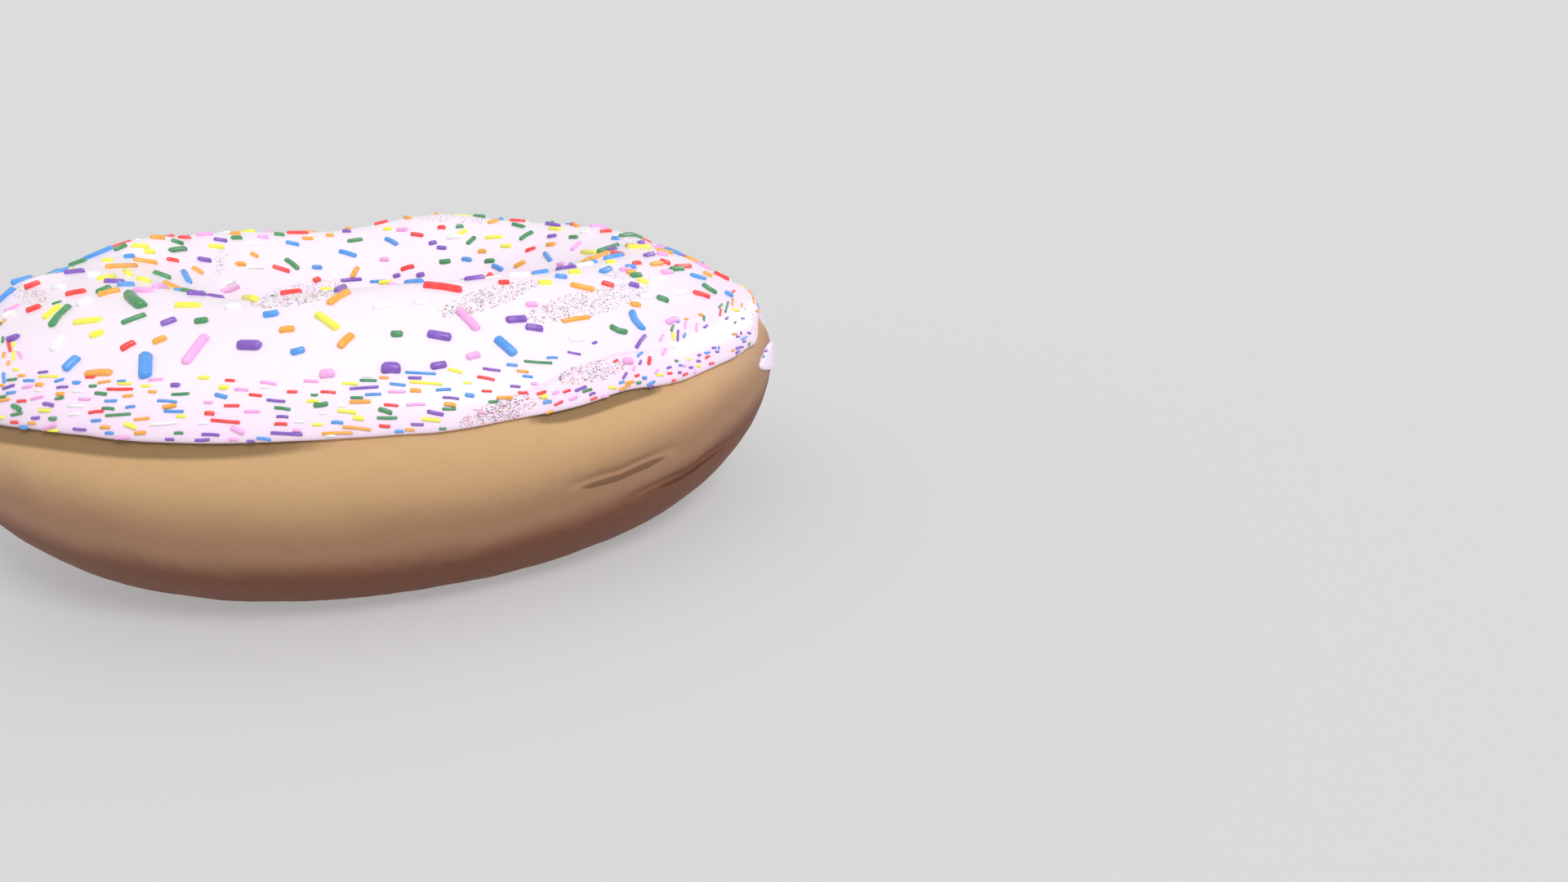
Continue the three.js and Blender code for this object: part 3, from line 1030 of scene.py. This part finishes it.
class Finish:
    """A material in the making."""

    def __init__(self, name):
        self.material = bpy.data.materials.new(name)
        self.material.use_nodes = True
        self.tree = self.material.node_tree
        self.shader = self.tree.nodes["Principled BSDF"]

    def put(self, value, socket):
        """Links a level to a socket, or sets the socket to a plain value."""
        if isinstance(value, Level):
            self.tree.links.new(value.socket, socket)
        elif hasattr(value, "__len__") and len(value) == 3 and len(socket.default_value) == 4:
            socket.default_value = (*value, 1)
        else:
            socket.default_value = value

    def node(self, kind, settings=None, sockets=None, output=0):
        """Adds a node: its settings first, then its sockets by name, number or identifier."""
        made = self.tree.nodes.new("ShaderNode" + kind)
        for name, value in (settings or {}).items():
            setattr(made, name, value)
        by_identifier = {socket.identifier: socket for socket in made.inputs}
        for name, value in (sockets or {}).items():
            self.put(value, by_identifier[name] if name in by_identifier else made.inputs[name])
        return Level(self, made.outputs[output])

    def mix(self, share, first, second, way="MIX"):
        """A colour that goes from the first to the second, or is tinted by it, as share rises to 1."""
        sockets = {"Factor_Float": share, "A_Color": first, "B_Color": second}
        return self.node("Mix", {"data_type": "RGBA", "blend_type": way}, sockets, output=2)

    def place(self):
        """How far along X and how high a place on the piece is, in metres."""
        split = self.node("SeparateXYZ", sockets={"Vector": self.node("TexCoord", output=3)})
        return split, Level(self, split.socket.node.outputs["Z"])

    def noise(self, size, detail=2.0, roughness=0.5):
        """A smooth noise from 0 to 1 with lumps of this size."""
        sockets = {"Vector": self.node("TexCoord", output=3), "Scale": 1 / size}
        return self.node("TexNoise", sockets={**sockets, "Detail": detail, "Roughness": roughness})

    def bump(self, height, depth, under=None):
        """The facing of a surface raised by a height from 0 to 1 times this depth."""
        sockets = {"Height": height, "Distance": depth}
        return self.node("Bump", sockets={**sockets, "Normal": under} if under else sockets)

    def on(self, piece, **sockets):
        """Sets the shader's own sockets, and puts the finish on a piece."""
        for name, value in sockets.items():
            self.put(value, self.shader.inputs[name.replace("_", " ")])
        piece.data.materials.clear()
        piece.data.materials.append(self.material)


# %% [markdown]
# ## The fried crust
#
# Hot oil browns the side that is down. The crust is golden tan by the icing, darkens below the waist,
# and is a deep brown underneath, in patches rather than an even band. This darkening downwards is
# partly the crust's own browning and partly painted shade of the underside. The brown climbs higher at
# the ring's two sides as painted shade. Its skin is dry and dull, with pores where bubbles broke and
# fine wrinkles where the ring shrank as it cooled.

# %% Finish the dough
GOLDEN = (0.575, 0.362, 0.178)
TOASTED = (0.375, 0.205, 0.118)
# the deep brown underneath is partly the crust's own browning and partly painted shade of the underside
DEEP_BROWN = (0.185, 0.067, 0.036)
# painted shade: the shadow under the lip and the shade in the folds multiply the colour by this
SHADE_TINT = (0.47, 0.46, 0.42)
TOASTED_TO_GOLDEN = (11 * MM, 17 * MM)  # the heights between which one turns into the other
DEEP_TO_TOASTED = (5.7 * MM, 9.8 * MM)
BROWN_SHADE_CLIMB = 3.2 * MM  # how much higher the brown is at the sides, as painted shade
CLIMB_AT = 30 * MM  # this far to the left and to the right
LEAST_AT = -4 * MM  # of this place along X
MOTTLE = dict(size=9 * MM, detail=3)
MOTTLE_SHIFT = 2 * MM  # the heights at which the colour turns wander over this range
FRECKLES = dict(size=1.5 * MM, detail=4, roughness=0.6)
FRECKLE_SHIFT = 0.8 * MM
FRECKLED = 0.14  # how toasted the darkest freckles are, from 0 to 1
WRINKLES = dict(size=1.3 * MM, detail=4, roughness=0.55)
WRINKLE_DEPTH = 0.045 * MM
PORE_SIZE = 0.6 * MM
PORE_DEPTH = 0.03 * MM

crust = Finish("fried_crust")
sideways, height = crust.place()
mottle = crust.noise(**MOTTLE)
freckles = crust.noise(**FRECKLES)
off_centre = (sideways - LEAST_AT) * (1 / CLIMB_AT)
patchy = (mottle - 0.5) * MOTTLE_SHIFT + (freckles - 0.5) * FRECKLE_SHIFT
# the brown is raised at the two sides as painted shade
level = height - off_centre * off_centre * BROWN_SHADE_CLIMB + patchy
colour = crust.mix(level.rises(*TOASTED_TO_GOLDEN), TOASTED, GOLDEN)
colour = crust.mix(level.rises(*DEEP_TO_TOASTED), DEEP_BROWN, colour)
colour = crust.mix(freckles.rises(0.5, 0.8) * FRECKLED, colour, TOASTED)
# painted shade: the shadow under the icing's lip and the shade in the folds darken the crust
browned = crust.node("Attribute", {"attribute_name": "browned"}, output=2)
colour = crust.mix(browned.rises(0.36, 0.6), colour, SHADE_TINT, way="MULTIPLY")
pores = crust.noise(PORE_SIZE, detail=1).rises(0.6, 0.85)
skin = crust.bump(crust.noise(**WRINKLES), WRINKLE_DEPTH)
crust.on(
    dough,
    Base_Color=colour,
    Roughness=0.5 + freckles * 0.18,
    Specular_IOR_Level=0.2,
    Normal=crust.bump(1 - pores, PORE_DEPTH, under=skin),
)

# %% [markdown]
# ## The icing's finish
#
# Icing is sugar and water with a drop of colour. It is almost white on top and pinker towards the lips,
# which is partly painted shade of the side turned from the light, and pinker at the two sides as
# painted shade. It is smooth and looks wet, with a thin hard gloss, and light goes a little way into it.

# %% Finish the icing
NEARLY_WHITE = (0.96, 0.84, 0.955)
PALE_PINK = (0.955, 0.75, 0.945)
PINK_TO_WHITE = (19.3 * MM, 28.3 * MM)  # the heights between which one turns into the other
PINK_SHADE_CLIMB = 2.4 * MM  # how much higher the pink is at the sides, as painted shade
PINK_DRIFT_SIZE = 14 * MM
PINK_DRIFT = 2 * MM  # the heights wander over this range
SHEEN_SIZE = 5 * MM
SET_WAVES = dict(size=2.2 * MM, detail=3, roughness=0.45)
SET_WAVE_DEPTH = 0.04 * MM

glaze = Finish("set_icing")
sideways, height = glaze.place()
off_centre = (sideways - LEAST_AT) * (1 / CLIMB_AT)
drift = (glaze.noise(PINK_DRIFT_SIZE) - 0.5) * PINK_DRIFT
# a level for the colour, not the icing's real thickness: whiter higher up, lower at the two sides as
# painted shade
thickness = height - off_centre * off_centre * PINK_SHADE_CLIMB + drift
glaze.on(
    icing,
    Base_Color=glaze.mix(thickness.rises(*PINK_TO_WHITE), PALE_PINK, NEARLY_WHITE),
    Roughness=0.24 + glaze.noise(SHEEN_SIZE) * 0.14,
    Specular_IOR_Level=0.45,
    Normal=glaze.bump(glaze.noise(**SET_WAVES), SET_WAVE_DEPTH),
    Coat_Weight=0.15,
    Coat_Roughness=0.25,
    Subsurface_Weight=0.15,
    Subsurface_Radius=(1.0, 0.75, 0.95),
    Subsurface_Scale=1.2 * MM,
)

# %% [markdown]
# ## The sprinkles' finish
#
# Each sprinkle is boiled sugar with colour all through, waxed so that it doesn't clump. The wax gives a
# satin shine, and the sugar under it is slightly grainy, a little paler where it has been rubbed.

# %% Finish the sprinkles and the specks
RUBBED = dict(size=0.8 * MM, detail=3)
PALER_BY = 0.25  # of the way to white, where it is rubbed
GRAIN_SIZE = 0.25 * MM
GRAIN_DEPTH = 0.02 * MM
DUST_SIZE = 0.3 * MM


def sugar(piece, name, colour):
    """The finish of coloured sugar."""
    finish = Finish(name)
    rubbed = finish.noise(**RUBBED).rises(0.45, 0.8)
    paler = tuple((1 - PALER_BY) * light + PALER_BY for light in colour)
    finish.on(
        piece,
        Base_Color=finish.mix(rubbed * 0.35, colour, paler),
        Roughness=0.34 + rubbed * 0.2,
        Normal=finish.bump(finish.noise(GRAIN_SIZE), GRAIN_DEPTH),
        Coat_Weight=0.15,
        Coat_Roughness=0.25,
    )


for colour, piece in sprinkles.items():
    sugar(piece, f"sugar_{colour}", SUGAR_COLOURS[colour])

dust = Finish("sugar_dust")
dust.on(
    specks,
    Base_Color=dust.node("Attribute", {"attribute_name": "tint"}),
    Roughness=0.45 + dust.noise(DUST_SIZE) * 0.15,
)
print("finishes:", [m.name for m in bpy.data.materials if m.users])

# %% [markdown]
# ## Floor and light
#
# A plain studio: a pale table, lit a little from below so that no hard shadow falls on it, runs off to
# a horizon of its own colour. There is even light from all round, a broad soft light high in front,
# and a low one to the right that puts a gleam on the icing's shoulder.

# %% Lay the table
FLOOR_SIZE = 12
FLOOR_COLOUR = (0.36, 0.36, 0.36)
FLOOR_GLOW = 0.33
BACKDROP_COLOUR = (0.723, 0.723, 0.723)

bpy.ops.object.select_all(action="DESELECT")
bpy.ops.mesh.primitive_plane_add(size=FLOOR_SIZE, location=(0, 0, 0))
floor = bpy.context.object
floor.name = "floor"
table = Finish("lit_table")
table.on(
    floor,
    Base_Color=FLOOR_COLOUR,
    Roughness=0.95,
    Specular_IOR_Level=0.0,
    Emission_Color=(1, 1, 1),
    Emission_Strength=FLOOR_GLOW,
)

world = bpy.data.worlds.new("studio")
bpy.context.scene.world = world
world.use_nodes = True
world.node_tree.nodes["Background"].inputs["Color"].default_value = (*BACKDROP_COLOUR, 1)

# %% Light it
KEY_FROM = Vector((0.22, -0.72, 0.75))  # the way to the light
KEY_STRENGTH = 1.5
KEY_SOFTNESS = math.radians(18)
GLEAM_FROM = Vector((0.85, 0.4, 0.35))
GLEAM_DISTANCE = 1.2
GLEAM_WIDTH = 0.75
GLEAM_HEIGHT = 0.16
GLEAM_ROLL = math.radians(-30)
GLEAM_POWER = 3.4


def add_light(kind, name, way, distance, roll=0.0):
    """A light that shines on the doughnut from this way."""
    facing = (-way).to_track_quat("-Z", "Y").to_euler()
    facing.rotate_axis("Z", roll)
    bpy.ops.object.light_add(type=kind, location=way.normalized() * distance, rotation=facing)
    bpy.context.object.name = name
    return bpy.context.object.data


key = add_light("SUN", "key_light", KEY_FROM, 1)
key.energy = KEY_STRENGTH
key.angle = KEY_SOFTNESS
gleam = add_light("AREA", "gleam_light", GLEAM_FROM, GLEAM_DISTANCE, GLEAM_ROLL)
gleam.shape = "RECTANGLE"
gleam.size = GLEAM_WIDTH
gleam.size_y = GLEAM_HEIGHT
gleam.energy = GLEAM_POWER
bpy.context.object.visible_camera = False
bpy.context.object.visible_diffuse = False  # it adds a gleam and no light
bpy.context.scene.view_settings.view_transform = "Standard"

# %% [markdown]
# ## The pieces on the body
#
# Every piece rides on the part's one body, and the dough and the icing stand for their imported solids.

# %% Put every piece on the body
for piece in (dough, icing, specks, *sprinkles.values()):
    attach(piece, "root")
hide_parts("dough")
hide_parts("frosting")
